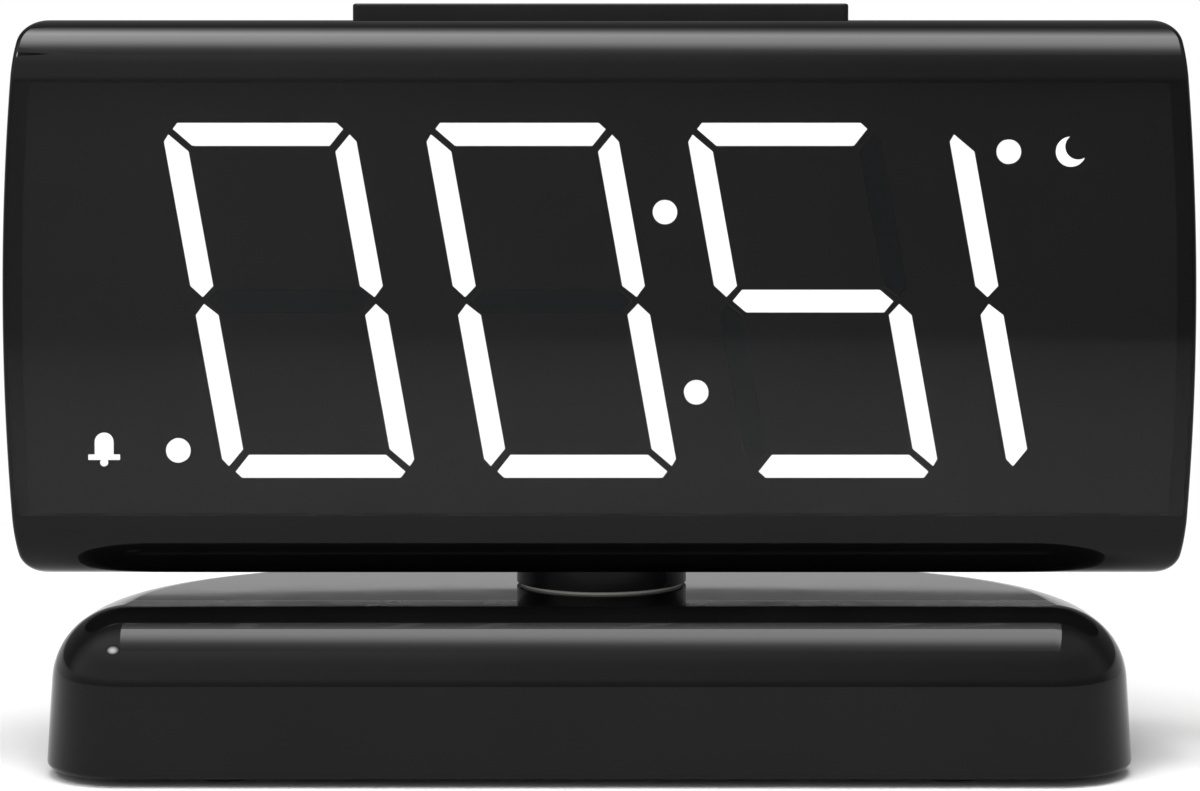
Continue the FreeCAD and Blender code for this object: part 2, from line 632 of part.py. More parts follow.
for name, place_at in BUTTONS.items():
    bx = K["button_step"] * place_at
    top = body_pad("front", rounded(bw, bt, bx, K["button_z"], 1.2), K["button_base_y"] + 1, back + K["button_proud"])
    doc.recompute()
    edges = ["Edge%d" % i for i, e in enumerate(top.Shape.Edges, start=1)
             if abs(e.BoundBox.YMin - (back + K["button_proud"]).v) < 1e-6]
    last = top.Tip
    soft = top.newObject("PartDesign::Fillet", fresh("round"))
    soft.Base = (last, edges)
    soft.Radius = 0.4
    top.Tip = soft
    part(name, fuse(top, box(bx - bw - 0.9, bx + bw + 0.9, 16.4, 17.5, K["button_z"] - bt - 0.9, K["button_z"] + bt + 0.9),
                    rod(2.0, 1.4, bx, K["button_base_y"], K["button_z"], BACK)))
rest = sx - K["slider_travel"] / 2
ribs = [box(rest + d - 0.25, rest + d + 0.25, 20.6, 21.3, cz - 1.7, cz + 1.7) for d in (-1.5, 0, 1.5)]
part("alarm_switch_knob", fuse(box(rest - 2.5, rest + 2.5, 16.6, 20.9, cz - 1.7, cz + 1.7),
                               box(rest - 4.6, rest + 4.6, 16.4, 17.5, cz - 2.8, cz + 2.8),
                               box(rest - 0.9, rest + 0.9, 13.6, 17.0, cz - 0.9, cz + 0.9), *ribs))
notches = [rod(0.55, 6, wx + 8.25 * math.cos(math.radians(a)), wy + 8.25 * math.sin(math.radians(a)), cz - 3) for a in range(0, 360, 15)]
disc = rod(wr, K["wheel_thick"], wx, wy, cz - K["wheel_thick"] / 2)
part("dimmer_wheel", cut(disc, fuse(rod(1.55, 8, wx, wy, cz - 4), *notches)))
door = body_pad("front", rounded(ds - 0.15, ds - 0.15, dx, dz, 1.4), back - 1.25, back)
hollow = body_pad("front", rounded(ds - 2.9, ds - 2.9, dx, dz, 0.5), 17.0, back - 1.25)
skirt = body_pad("front", rounded(ds - 1.4, ds - 1.4, dx, dz, 0.9), 17.9, back - 1.2)
part("battery_door", cut(fuse(door, cut(skirt, hollow)),
                         box(dx - 4, dx + 4, back - 0.5, back + 1, dz + ds - 3.2, dz + ds - 2.0),
                         box(dx - 4, dx + 4, back - 0.5, back + 1, dz + ds - 5.4, dz + ds - 4.2)))

# ---------------------------------------------------------------- neck and swivel
ny, cr, cl = K["neck_y"], K["collar_radius"], K["collar_low"]
wash_low = K["bush_low"] - 1.1
part("swivel_neck", cut(fuse(rod(cr, low - cl, 0, ny, cl), rod(6.5, 4.6, 0, ny, low - 0.1), rod(K["spigot_radius"], cl - wash_low + 0.1, 0, ny, wash_low)),
                        rod(2.0, 9, 0, ny, wash_low - 1), *[rod(0.9, 3, x, ny + y, low - 2.6) for x, y in NECK_SCREWS]))
part("neck_screws", group(*[fuse(rod(1.9, 1.4, x, ny + y, low + w), rod(0.9, w + 2.6, x, ny + y, low - 2.5)) for x, y in NECK_SCREWS]))
part("thrust_washer", cut(rod(11.9, cl - K["base_top"], 0, ny, K["base_top"]), rod(7.6, 3, 0, ny, K["base_top"] - 1)))
part("swivel_bushing", cut(rod(K["bush_radius"], K["base_top"] - K["bush_low"], 0, ny, K["bush_low"]),
                           rod(K["bush_bore"], 20, 0, ny, 10)))
part("spring_washer", cut(rod(8.6, 0.6, 0, ny, wash_low + 0.25), rod(7.4, 3, 0, ny, wash_low - 1)))
part("retaining_washer", cut(fuse(rod(9.4, 1.2, 0, ny, wash_low - 1.2), box(-1.5, 1.5, ny + 8, ny + 12.6, wash_low - 1.2, wash_low)),
                             rod(2.2, 4, 0, ny, wash_low - 3)))
part("retaining_screw", cut(fuse(rod(4.2, 2.4, 0, ny, wash_low - 3.6), rod(2.0, 8.4, 0, ny, wash_low - 1.3)),
                            box(-3, 3, ny - 0.5, ny + 0.5, wash_low - 4, wash_low - 2.8), box(-0.5, 0.5, ny - 3, ny + 3, wash_low - 4, wash_low - 2.8)))

# ---------------------------------------------------------------- base
def base_form(inset, top_inset, bottom):
    """The base's outer form, taken in by inset at the sides and top_inset at the top."""
    inset, top_inset = q(inset), q(top_inset)
    hx, hy = K["base_wide"] / 2 - inset, K["base_deep"] / 2 - inset
    rf, rb = K["base_front_corner"] - inset, K["base_back_corner"] - inset
    start, end = q(bottom), K["base_top"] - top_inset

    def plan(sk):
        add_chain(sk, [
            ("line", (rf - hx, -hy), (hx - rf, -hy), None),
            ("arc", (hx - rf, -hy), (hx, rf - hy), rf),
            ("line", (hx, rf - hy), (hx, hy - rb), None),
            ("arc", (hx, hy - rb), (hx - rb, hy), rb),
            ("line", (hx - rb, hy), (rb - hx, hy), None),
            ("arc", (rb - hx, hy), (-hx, hy - rb), rb),
            ("line", (-hx, hy - rb), (-hx, rf - hy), None),
            ("arc", (-hx, rf - hy), (rf - hx, -hy), rf),
        ])

    body = body_pad("top", plan, start, end, K["base_draft"])
    doc.recompute()
    for level, size, kind in ((end, K["base_roll"] - top_inset, "Fillet"), (start, Q(0.9) - inset, "Chamfer")):
        if size.v < 0.2:
            continue
        edges = ["Edge%d" % i for i, e in enumerate(body.Shape.Edges, start=1)
                 if abs(e.BoundBox.ZMin - level.v) < 1e-5 and abs(e.BoundBox.ZMax - level.v) < 1e-5]
        last = body.Tip
        dress = body.newObject("PartDesign::" + kind, fresh("edge"))
        dress.Base = (last, edges)
        bind(dress, "Radius" if kind == "Fillet" else "Size", size)
        body.Tip = dress
        doc.recompute()
    return place(body, K["base_x"], 0, 0)


bt_, bl, bwall = K["base_top"], K["base_low"], K["base_wall"]
BASE_SCREWS = [(K["base_x"] + x, y) for x, y in ((62, -19), (-62, -19), (42, 16), (-42, 16))]
FEET = [(K["base_x"] + x, y) for x, y in ((50, -20), (-50, -20), (29, 19), (-29, 19))]
cover_top = bl + K["cover_thick"]
hull = base_form(0, 0, bl)
room = base_form(bwall, bwall, bl - 0.05)
drops = [rod(13.6, bt_ - K["bush_low"] - 0.1, 0, ny, K["bush_low"])] + [rod(3.4, bt_ - 1 - cover_top, x, y, cover_top) for x, y in BASE_SCREWS]
stop = common(cut(rod(13.6, 4.6, 0, ny, K["bush_low"] - 4.5), rod(10.6, 8, 0, ny, K["bush_low"] - 6)), box(-20, 20, -30, ny - 1.8, 5, 20))
top_shell = cut(fuse(cut(hull, room), *drops, stop), fuse(rod(K["bush_radius"], 30, 0, ny, 10), *[rod(1.2, 10, x, y, cover_top - 1) for x, y in BASE_SCREWS]))
part("base_top_shell", top_shell)
plate = common(base_form(bwall + K["cover_gap"], 0.0, bl), box(-90, 90, -60, 60, bl, cover_top))
recess = [rod(K["foot_radius"], 1.0, x, y, bl) for x, y in FEET] + [rod(3.0, 1.2, x, y, bl - 0.2) for x, y in BASE_SCREWS] + [rod(1.5, 6, x, y, bl - 1) for x, y in BASE_SCREWS]
part("base_bottom_cover", cut(plate, fuse(*recess)))
part("rubber_feet", group(*[rod(K["foot_radius"], K["foot_thick"], x, y, 0) for x, y in FEET]))
part("base_screws", group(*[fuse(rod(2.7, 0.9, x, y, bl + 0.1), rod(1.2, 7.5, x, y, bl + 0.9)) for x, y in BASE_SCREWS]))
part("ballast_plate", cut(box(-54, 54, -26.0, -12.0, cover_top, cover_top + 9), *[rod(2.0, 12, x, -19, cover_top - 1) for x in (-40, 40)]))

# ---------------------------------------------------------------- check and write
doc.recompute()
bad = []
for o in doc.Objects:
    if "Invalid" in o.State or "Error" in o.State:
        bad.append("%s %s %s" % (o.Name, o.Label, o.State))
for name, o in PARTS.items():
    s = o.Shape
    if s.isNull() or not s.isValid() or not s.Solids:
        bad.append("%s shape not valid" % name)
if bad:
    raise RuntimeError("; ".join(bad[:12]))
total = 0.0
for name, o in PARTS.items():
    o.Shape.exportStep("parts/%s.step" % name)
    total += o.Shape.Volume
    print(name, len(o.Shape.Solids), round(o.Shape.Volume, 1))
print(len(PARTS), "pieces")
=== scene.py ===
# Looks for the digital alarm clock: smooth outer shells, materials, light and camera.
import math

import bmesh
import bpy
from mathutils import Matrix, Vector


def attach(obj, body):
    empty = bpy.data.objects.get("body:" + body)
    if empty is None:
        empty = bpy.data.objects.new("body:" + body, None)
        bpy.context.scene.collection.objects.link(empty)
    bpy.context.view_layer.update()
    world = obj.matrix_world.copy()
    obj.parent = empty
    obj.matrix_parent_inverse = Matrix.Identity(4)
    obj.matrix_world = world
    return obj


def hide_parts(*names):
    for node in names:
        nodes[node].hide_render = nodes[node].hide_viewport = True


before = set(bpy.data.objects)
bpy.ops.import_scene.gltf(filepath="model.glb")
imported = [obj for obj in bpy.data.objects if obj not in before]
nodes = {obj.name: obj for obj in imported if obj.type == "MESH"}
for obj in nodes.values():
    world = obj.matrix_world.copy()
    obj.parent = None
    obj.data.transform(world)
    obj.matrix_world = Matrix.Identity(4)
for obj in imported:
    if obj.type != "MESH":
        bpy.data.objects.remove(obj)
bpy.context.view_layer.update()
MM = 0.001


# ------------------------------------------------------------------ materials
def new_mat(name):
    m = bpy.data.materials.new(name)
    m.use_nodes = True
    nt = m.node_tree
    bsdf = nt.nodes["Principled BSDF"]
    return m, nt, bsdf


def noise(nt, scale, detail=4.0, rough=0.6, distortion=0.0):
    tc = nt.nodes.new("ShaderNodeTexCoord")
    n = nt.nodes.new("ShaderNodeTexNoise")
    n.inputs["Scale"].default_value = scale
    n.inputs["Detail"].default_value = detail
    n.inputs["Roughness"].default_value = rough
    n.inputs["Distortion"].default_value = distortion
    nt.links.new(tc.outputs["Object"], n.inputs["Vector"])
    return n


def remap(nt, src, lo, hi, a=0.3, b=0.7):
    r = nt.nodes.new("ShaderNodeMapRange")
    r.inputs["From Min"].default_value = a
    r.inputs["From Max"].default_value = b
    r.inputs["To Min"].default_value = lo
    r.inputs["To Max"].default_value = hi
    nt.links.new(src, r.inputs["Value"])
    return r.outputs["Result"]


def tint(nt, src, dark, light):
    r = nt.nodes.new("ShaderNodeValToRGB")
    r.color_ramp.elements[0].position = 0.3
    r.color_ramp.elements[1].position = 0.7
    r.color_ramp.elements[0].color = (*dark, 1)
    r.color_ramp.elements[1].color = (*light, 1)
    nt.links.new(src, r.inputs["Fac"])
    return r.outputs["Color"]


def bump(nt, bsdf, src, strength, distance):
    b = nt.nodes.new("ShaderNodeBump")
    b.inputs["Strength"].default_value = strength
    b.inputs["Distance"].default_value = distance
    nt.links.new(src, b.inputs["Height"])
    nt.links.new(b.outputs["Normal"], bsdf.inputs["Normal"])


def plastic(name, dark, light, rough, grain=0.0, grain_scale=2500.0, level=0.34, wobble=0.0):
    """Moulded plastic: slight colour drift, uneven gloss, and a fine grain where it is matt."""
    m, nt, b = new_mat(name)
    b.inputs["Specular IOR Level"].default_value = level
    drift = noise(nt, 35.0, 5.0)
    nt.links.new(tint(nt, drift.outputs["Fac"], dark, light), b.inputs["Base Color"])
    wear = noise(nt, 90.0, 6.0, 0.65)
    nt.links.new(remap(nt, wear.outputs["Fac"], rough[0], rough[1]), b.inputs["Roughness"])
    if grain:
        g = noise(nt, grain_scale, 3.0, 0.7)
        bump(nt, b, g.outputs["Fac"], grain, 0.00006)
    elif wobble:
        g = noise(nt, 60.0, 1.0, 0.4)
        bump(nt, b, g.outputs["Fac"], wobble, 0.0002)
    return m


def metal(name, dark, light, rough):
    m, nt, b = new_mat(name)
    b.inputs["Metallic"].default_value = 1.0
    brush = noise(nt, 700.0, 5.0, 0.6)
    nt.links.new(tint(nt, brush.outputs["Fac"], dark, light), b.inputs["Base Color"])
    nt.links.new(remap(nt, brush.outputs["Fac"], rough[0], rough[1]), b.inputs["Roughness"])
    bump(nt, b, brush.outputs["Fac"], 0.15, 0.00003)
    return m


gloss = plastic("gloss_black", (0.0016, 0.0016, 0.0018), (0.0026, 0.0026, 0.0028), (0.012, 0.03), level=0.142, wobble=0.01)
neck_black = plastic("neck_black", (0.0016, 0.0016, 0.0018), (0.0026, 0.0026, 0.0028), (0.2, 0.3), grain=0.08, level=0.12)
satin = plastic("satin_black", (0.003, 0.003, 0.0033), (0.006, 0.006, 0.0063), (0.38, 0.5), grain=0.35, level=0.15)
button = plastic("button_black", (0.010, 0.010, 0.011), (0.016, 0.016, 0.017), (0.34, 0.46), grain=0.3, level=0.3)
rear = plastic("rear_black", (0.004, 0.004, 0.0043), (0.007, 0.007, 0.0075), (0.24, 0.34), grain=0.28, grain_scale=1800.0, level=0.27)
inner_black = plastic("liner_black", (0.002, 0.002, 0.002), (0.004, 0.004, 0.004), (0.55, 0.7), grain=0.3, level=0.2)
rubber = plastic("foot_rubber", (0.012, 0.012, 0.012), (0.022, 0.022, 0.022), (0.7, 0.85), grain=0.5, grain_scale=1500.0, level=0.3)
nylon = plastic("nylon", (0.62, 0.61, 0.57), (0.75, 0.74, 0.70), (0.4, 0.55), grain=0.15)
film = plastic("film", (0.10, 0.10, 0.10), (0.14, 0.14, 0.14), (0.5, 0.6))
chip = plastic("chip", (0.01, 0.01, 0.01), (0.02, 0.02, 0.02), (0.4, 0.6), grain=0.3)
board = plastic("board", (0.01, 0.09, 0.035), (0.02, 0.16, 0.06), (0.3, 0.4), grain=0.2, grain_scale=900.0)
led = plastic("led", (0.75, 0.68, 0.4), (0.85, 0.8, 0.55), (0.3, 0.4))
unlit = plastic("unlit", (0.002, 0.004, 0.0045), (0.004, 0.007, 0.0075), (0.3, 0.5), level=0.1)
steel = metal("steel", (0.35, 0.35, 0.36), (0.55, 0.55, 0.56), (0.22, 0.38))
brass = metal("brass", (0.55, 0.40, 0.16), (0.75, 0.58, 0.28), (0.2, 0.35))
iron = metal("iron", (0.12, 0.12, 0.12), (0.22, 0.22, 0.22), (0.5, 0.7))


def lit_material():
    """A milky light guide, lit from behind: a little dimmer where the light thins out."""
    m, nt, b = new_mat("lit")
    b.inputs["Base Color"].default_value = (0.8, 0.8, 0.8, 1)
    b.inputs["Roughness"].default_value = 0.5
    cloud = noise(nt, 120.0, 3.0)
    nt.links.new(tint(nt, cloud.outputs["Fac"], (0.94, 0.95, 0.96), (1.0, 1.0, 1.0)), b.inputs["Emission Color"])
    b.inputs["Emission Strength"].default_value = LIT
    return m


# Printed label icons: a speckled ink colour, plus a painted glow, an emission that makes the print shine though no lamp
# lights it.
def print_with_painted_glow_material():
    m, nt, b = new_mat("print_painted_glow")
    speck = noise(nt, 3000.0, 2.0)
    nt.links.new(tint(nt, speck.outputs["Fac"], (0.7, 0.72, 0.73), (0.85, 0.86, 0.87)), b.inputs["Base Color"])
    b.inputs["Roughness"].default_value = 0.6
    # painted glow: the print's own emission, not light from a lamp
    nt.links.new(tint(nt, speck.outputs["Fac"], (0.9, 0.92, 0.93), (1, 1, 1)), b.inputs["Emission Color"])
    b.inputs["Emission Strength"].default_value = 1.9
    return m


def smoked_material():
    """Smoked acrylic: a clear gloss skin over a dark tint that lets the lit bars through."""
    m, nt, b = new_mat("smoked")
    b.inputs["Alpha"].default_value = 0.5
    b.inputs["Specular IOR Level"].default_value = 0.42
    drift = noise(nt, 35.0, 5.0)
    nt.links.new(tint(nt, drift.outputs["Fac"], (0.0016, 0.0016, 0.0018), (0.0026, 0.0026, 0.0028)), b.inputs["Base Color"])
    wear = noise(nt, 90.0, 6.0, 0.65)
    nt.links.new(remap(nt, wear.outputs["Fac"], 0.02, 0.045), b.inputs["Roughness"])
    return m


def clear_material():
    """The cover's inner faces, which add no second reflection."""
    m, nt, b = new_mat("clear")
    b.inputs["Alpha"].default_value = 0.04
    b.inputs["Specular IOR Level"].default_value = 0.0
    drift = noise(nt, 35.0, 5.0)
    nt.links.new(tint(nt, drift.outputs["Fac"], (0.0016, 0.0016, 0.0018), (0.0026, 0.0026, 0.0028)), b.inputs["Base Color"])
    b.inputs["Roughness"].default_value = 0.3
    return m


clear = clear_material()
LIT = 1.62
lit = lit_material()
print_with_painted_glow = print_with_painted_glow_material()
smoked = smoked_material()

LOOK = {
    "lit_segments": lit, "colon_dots": lit, "indicator_dots": lit, "unlit_segments": unlit, "label_icons": print_with_painted_glow,
    "light_shield": inner_black, "diffuser_sheet": film, "led_chips": led, "led_board": board, "display_screws": steel,
    "rear_cover": rear, "rear_screws": steel, "main_board": board, "board_screws": steel, "main_chip": chip,
    "board_connector": chip, "key_switches": chip, "alarm_switch_body": steel, "dimmer_pot": chip, "power_inlet": steel,
    "sounder": chip, "cell_holder": chip, "cell_contact": brass, "backup_cell": steel, "snooze_board": board,
    "snooze_switch": chip, "snooze_bar": satin, "time_button": button, "alarm_button": button, "minus_button": button,
    "plus_button": button, "alarm_switch_knob": button, "dimmer_wheel": button, "battery_door": rear, "swivel_neck": neck_black,
    "neck_screws": steel, "thrust_washer": nylon, "swivel_bushing": nylon, "spring_washer": steel,
    "retaining_washer": steel, "retaining_screw": steel, "base_bottom_cover": rear, "rubber_feet": rubber,
    "base_screws": steel, "ballast_plate": iron, "front_cover": smoked, "base_top_shell": gloss,
}
for name, material in LOOK.items():
    data = nodes[name].data
    data.materials.clear()
    data.materials.append(material)


# ------------------------------------------------------------------ meshes
def arc(cx, cz, r, a0, a1, n):
    """Points and outward normals along an arc, angles in degrees."""
    out = []
    for i in range(n):
        a = math.radians(a0 + (a1 - a0) * i / n)
        out.append((cx + r * math.cos(a), cz + r * math.sin(a), math.cos(a), math.sin(a)))
    return out


def straight(ax, az, bx, bz, n):
    d = math.hypot(bx - ax, bz - az)
    nx, nz = (bz - az) / d, -(bx - ax) / d
    return [(ax + (bx - ax) * i / n, az + (bz - az) * i / n, nx, nz) for i in range(n)]


def rings_to_mesh(name, rings, caps, material, flat_steps=(), closed=False):
    """Joins equal rings of (point, normal) in order into a closed surface. caps are two
    booleans for the first and last ring. flat_steps are ring gaps with a sharp shade. closed
    joins the last ring to the first."""
    bm = bmesh.new()
    n = len(rings[0])
    layers, normals = [], []
    for ring in rings:
        layers.append([bm.verts.new(p) for p, _ in ring])
        normals += [nv for _, nv in ring]
    for k in range(len(rings) if closed else len(rings) - 1):
        a, b = layers[k], layers[(k + 1) % len(layers)]
        for i in range(n):
            j = (i + 1) % n
            f = bm.faces.new((a[i], a[j], b[j], b[i]))
            f.smooth = k not in flat_steps
    for cap, layer in zip(caps, (layers[0], layers[-1])):
        if cap is True:
            bm.faces.new(layer).smooth = False
        elif cap:  # rolls across the width above and below, then one flat face between them
            lo, hi = cap
            for i in list(range(lo)) + list(range(hi, n // 2 - 1)):
                bm.faces.new((layer[i], layer[i + 1], layer[n - 2 - i], layer[n - 1 - i])).smooth = True
            bm.faces.new(layer[lo:hi + 1] + layer[n - 1 - hi:n - lo]).smooth = False
    mesh = bpy.data.meshes.new(name)
    bmesh.ops.recalc_face_normals(bm, faces=bm.faces)
    bm.to_mesh(mesh)
    bm.free()
    mesh.normals_split_custom_set_from_vertices([Vector(v).normalized() for v in normals])
    # flat faces keep their own direction
    loops = [Vector(c.vector) for c in mesh.corner_normals]
    for poly in mesh.polygons:
        if not poly.use_smooth:
            for li in poly.loop_indices:
                loops[li] = poly.normal.copy()
    mesh.normals_split_custom_set(loops)
    mesh.materials.append(material)
    obj = bpy.data.objects.new(name, mesh)
    bpy.context.scene.collection.objects.link(obj)
    return obj


# head outline, seen from the front: x right, z up, anticlockwise
LOW, HIGH, HL, HH, RC, BOW = 26.7, 104.9, 81.1, 81.1, 3.7, 390.0


FACE, SPLIT, WALL, FULL, EDGE = -20.0, -10.0, 2.0, 9.0, 0.75


def head_outline():
    """The right side from the bottom edge up to the top edge, then the left side back down."""
    x1, x2, u1, u2 = HL - RC * 0.0037, HH - RC * 0.0037, LOW + RC * 0.914, HIGH - RC * 0.914
    dx, dz = x2 - x1, u2 - u1
    half = math.hypot(dx, dz) / 2
    rise = math.sqrt(BOW ** 2 - half ** 2)
    cx, cz = (x1 + x2) / 2 - dz / (2 * half) * rise, (u1 + u2) / 2 + dx / (2 * half) * rise
    a0, a1 = math.degrees(math.atan2(u1 - cz, x1 - cx)), math.degrees(math.atan2(u2 - cz, x2 - cx))
    b0, b1 = (math.degrees(math.asin((z - cz) / BOW)) for z in (LOW + FULL, HIGH - FULL))
    pts = arc(HL - RC, LOW + RC, RC, -90, a0, 32)
    pts += arc(cx, cz, BOW, a0, b0, 16)
    pts += arc(cx, cz, BOW, b0, b1, 30)
    pts += arc(cx, cz, BOW, b1, a1, 16)
    pts += arc(HH - RC, HIGH - RC, RC, a1, 90, 32)
    pts.append((HH - RC, HIGH, 0.0, 1.0))
    return pts + [(-x, z, -nx, nz) for x, z, nx, nz in reversed(pts)]


def front_shell():
    pts = head_outline()
    n = len(pts)
    rings, flat = [], []

    def wall_ring(inset, y, sign=1):
        out = []
        for x, z, nx, nz in pts:
            out.append((Vector((x - nx * inset, y, z - nz * inset)) * MM, Vector((nx, 0, nz)) * sign))
        return out

    def edge_ring(skin, radius, a, sign=1):
        """On the rolled front at depth skin below its surface, where angle a runs round the small
        edge at the ends from the side (0) to the front (90 degrees)."""
        out = []
        for x, z, nx, nz in pts:
            d = skin + radius * (1 - math.cos(a))
            px, pz = x - nx * d, z - nz * d
            top = pz > (LOW + HIGH) / 2
            u = FULL - ((HIGH - pz) if top else (pz - LOW))
            rr = FULL - skin
            if u > 0:
                cosp = min(1.0, u / rr)
                sinp = math.sqrt(1 - cosp * cosp)
            else:
                cosp, sinp = 0.0, 1.0
            y = FACE + FULL - rr * sinp if u > 0 else FACE + skin
            g = abs(nx)
            y += radius * (1 - math.sin(a)) * g
            if a < 1e-6:
                normal = Vector((nx, 0, nz))
            else:
                normal = Vector((nx * math.cos(a) * g * sinp, -math.sin(a) * sinp,
                                 nz * math.cos(a) * g * sinp + (1 if top else -1) * math.sin(a) * cosp))
            out.append((Vector((px, y, pz)) * MM, normal.normalized() * sign))
        return out

    # the inner face out to its edge, the rim, then the outside round to the front
    for i in range(7):
        rings.append(edge_ring(WALL, 0.4, math.pi / 2 * (1 - i / 6), -1))
    rings.append(wall_ring(WALL, SPLIT, -1))
    flat.append(len(rings) - 1)
    rings.append(wall_ring(0.4, SPLIT))
    rings.append(wall_ring(0.4, SPLIT - 0.2))
    flat.append(len(rings) - 1)
    rings.append(wall_ring(0.08, SPLIT - 0.2))
    rings.append(wall_ring(0.0, SPLIT - 0.28))
    for i in range(15):
        rings.append(edge_ring(0.0, EDGE, math.pi / 2 * i / 14))
    face_span = (48, 78)
    obj = rings_to_mesh("front_shell", rings, (face_span, face_span), smoked, flat)
    obj.data.materials.append(clear)
    obj.data.materials.append(gloss)
    for poly in obj.data.polygons:
        if len(poly.vertices) > 8:  # the flat face outside and its inner side
            poly.material_index = 1 if poly.center.y > (FACE + 1) * MM else 0
        else:  # the rolls and sides are painted black inside
            poly.material_index = 2
    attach(obj, "head")
    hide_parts("front_cover")
    return obj


BX, BW, BD, RF, RB, BL, BT, ROLL, DRAFT = -1.4, 75.45, 30.0, 12.0, 46.0, 1.1, 23.1, 10.3, math.radians(3.5)


def base_outline():
    pts = straight(RF - BW, -BD, BW - RF, -BD, 100)
    pts += arc(BW - RF, RF - BD, RF, -90, 0, 40)
    pts += straight(BW, RF - BD, BW, BD - RB, 4)
    pts += arc(BW - RB, BD - RB, RB, 0, 90, 80)
    pts += straight(BW - RB, BD, RB - BW, BD, 50)
    pts += arc(RB - BW, BD - RB, RB, 90, 180, 80)
    pts += straight(-BW, BD - RB, -BW, RF - BD, 4)
    pts += arc(RF - BW, RF - BD, RF, 180, 270, 40)
    return [(x + BX, y, nx, ny) for x, y, nx, ny in pts]


def base_shell():
    pts = base_outline()
    rings, flat = [], []

    def ring(inset, z, tilt, sign=1):
        out = []
        for x, y, nx, ny in pts:
            p = Vector((x - nx * inset, y - ny * inset, z)) * MM
            n = Vector((nx * math.cos(tilt), ny * math.cos(tilt), math.sin(tilt))) * sign
            out.append((p, n))
        return out

    def wall_inset(z):
        return (z - BL) * math.tan(DRAFT)

    # the roll's centre keeps it tangent to the wall and the top
    cz = BT - ROLL
    z_tan = cz + ROLL * math.sin(DRAFT)
    c_in = wall_inset(z_tan) + ROLL * math.cos(DRAFT)
    def circle(radius, z, up):
        """A ring round the swivel's bore, matched point by point to the outline."""
        out = []
        for x, y, _, _ in pts:
            a = math.atan2(y - 3.0, x)
            out.append((Vector((radius * math.cos(a), 3.0 + radius * math.sin(a), z)) * MM, Vector((0, 0, up))))
        return out

    # the bore's sleeve, the inside from its ceiling down, then the rim, then the outside
    rings += [circle(9.0, 14.0, -1), circle(13.6, 14.0, -1), circle(13.6, BT - 2.2, -1)]
    flat += [0, 1]
    rings.append(ring(12.5, BT - 2.2, math.pi / 2, -1))
    for i in range(9):
        a = math.pi / 2 - (math.pi / 2 - DRAFT) * i / 8
        rings.append(ring(c_in - (ROLL - 2.2) * math.cos(a), cz + (ROLL - 2.2) * math.sin(a), a, -1))
    rings.append(ring(2.2, BL, DRAFT, -1))
    flat.append(len(rings) - 1)
    rings.append(ring(0.9, BL, 0.0))
    for k, a in enumerate((0.0, 0.35, 0.75, 1.0)):
        t = a * math.pi / 2
        rings.append(ring(0.9 * (1 - math.sin(t)) + wall_inset(BL + 0.9) * math.sin(t), BL + 0.9 * (1 - math.cos(t)), -(math.pi / 2 - t) + DRAFT * a))
    for i in range(1, 7):
        z = BL + 0.9 + (z_tan - BL - 0.9) * i / 7
        rings.append(ring(wall_inset(z), z, DRAFT))
    for i in range(33):
        a = DRAFT + (math.pi / 2 - DRAFT) * i / 32
        rings.append(ring(c_in - ROLL * math.cos(a), cz + ROLL * math.sin(a), a))
    rings.append(ring(c_in + 0.4, BT, math.pi / 2))
    rings.append(circle(9.0, BT, 1))
    flat.append(len(rings) - 1)
    obj = rings_to_mesh("base_shell", rings, (False, False), gloss, flat, closed=True)
    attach(obj, "base")
    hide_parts("base_top_shell")
    return obj


front_shell()
base_shell()

# ------------------------------------------------------------------ stage
scene = bpy.context.scene
scene.view_settings.view_transform = "Standard"

floor_mesh = bpy.data.meshes.new("floor")
floor_mesh.from_pydata([(-0.95, -1.1, 0), (0.95, -1.1, 0), (0.95, 0.25, 0), (-0.95, 0.25, 0)], [], [(0, 1, 2, 3)])
floor = bpy.data.objects.new("floor", floor_mesh)
scene.collection.objects.link(floor)
fm, fnt, fb = new_mat("pale_floor")
fb.inputs["Base Color"].default_value = (0.54, 0.54, 0.54, 1)
fb.inputs["Roughness"].default_value = 0.9
fb.inputs["Specular IOR Level"].default_value = 0.1
floor_mesh.materials.append(fm)

world = bpy.data.worlds.new("studio")
scene.world = world
world.use_nodes = True
wn = world.node_tree
bg = wn.nodes["Background"]
bg.inputs["Color"].default_value = (1, 1, 1, 1)
tc = wn.nodes.new("ShaderNodeTexCoord")
sep = wn.nodes.new("ShaderNodeSeparateXYZ")
wn.links.new(tc.outputs["Generated"], sep.inputs["Vector"])


def world_ramp(src, lo, hi, a, b):
    r = wn.nodes.new("ShaderNodeMapRange")
    r.interpolation_type = "SMOOTHSTEP"
    for key, value in (("From Min", lo), ("From Max", hi), ("To Min", a), ("To Max", b)):
        r.inputs[key].default_value = value
    wn.links.new(src, r.inputs["Value"])
    return r.outputs["Result"]


def world_math(kind, a, b):
    m = wn.nodes.new("ShaderNodeMath")
    m.operation = kind
    for socket, value in zip(m.inputs, (a, b)):
        if isinstance(value, float):
            socket.default_value = value
        else:
            wn.links.new(value, socket)
    return m.outputs["Value"]


# a pale room: a white backdrop behind the clock that ends a little above it, and an even,
# slightly brighter wall in front that leans to the left
back = world_math("MULTIPLY", world_ramp(sep.outputs["Z"], 0.09, 0.138, 1.0, 0.76),
                  world_ramp(sep.outputs["Z"], 0.1483, 0.1496, 1.0, 0.30))
front = world_math("MULTIPLY", world_ramp(sep.outputs["Z"], 0.5, 0.85, 1.16, 1.75),
                   world_ramp(sep.outputs["X"], -0.25, 0.25, 1.3, 0.72))
front = world_math("MULTIPLY", front, world_ramp(sep.outputs["Z"], 0.03, 0.22, 0.5, 1.0))
behind = world_ramp(sep.outputs["Y"], -0.25, 0.25, 0.0, 1.0)
room = world_math("ADD", front, world_math("MULTIPLY", behind, world_math("SUBTRACT", back, front)))
wn.links.new(room, bg.inputs["Strength"])


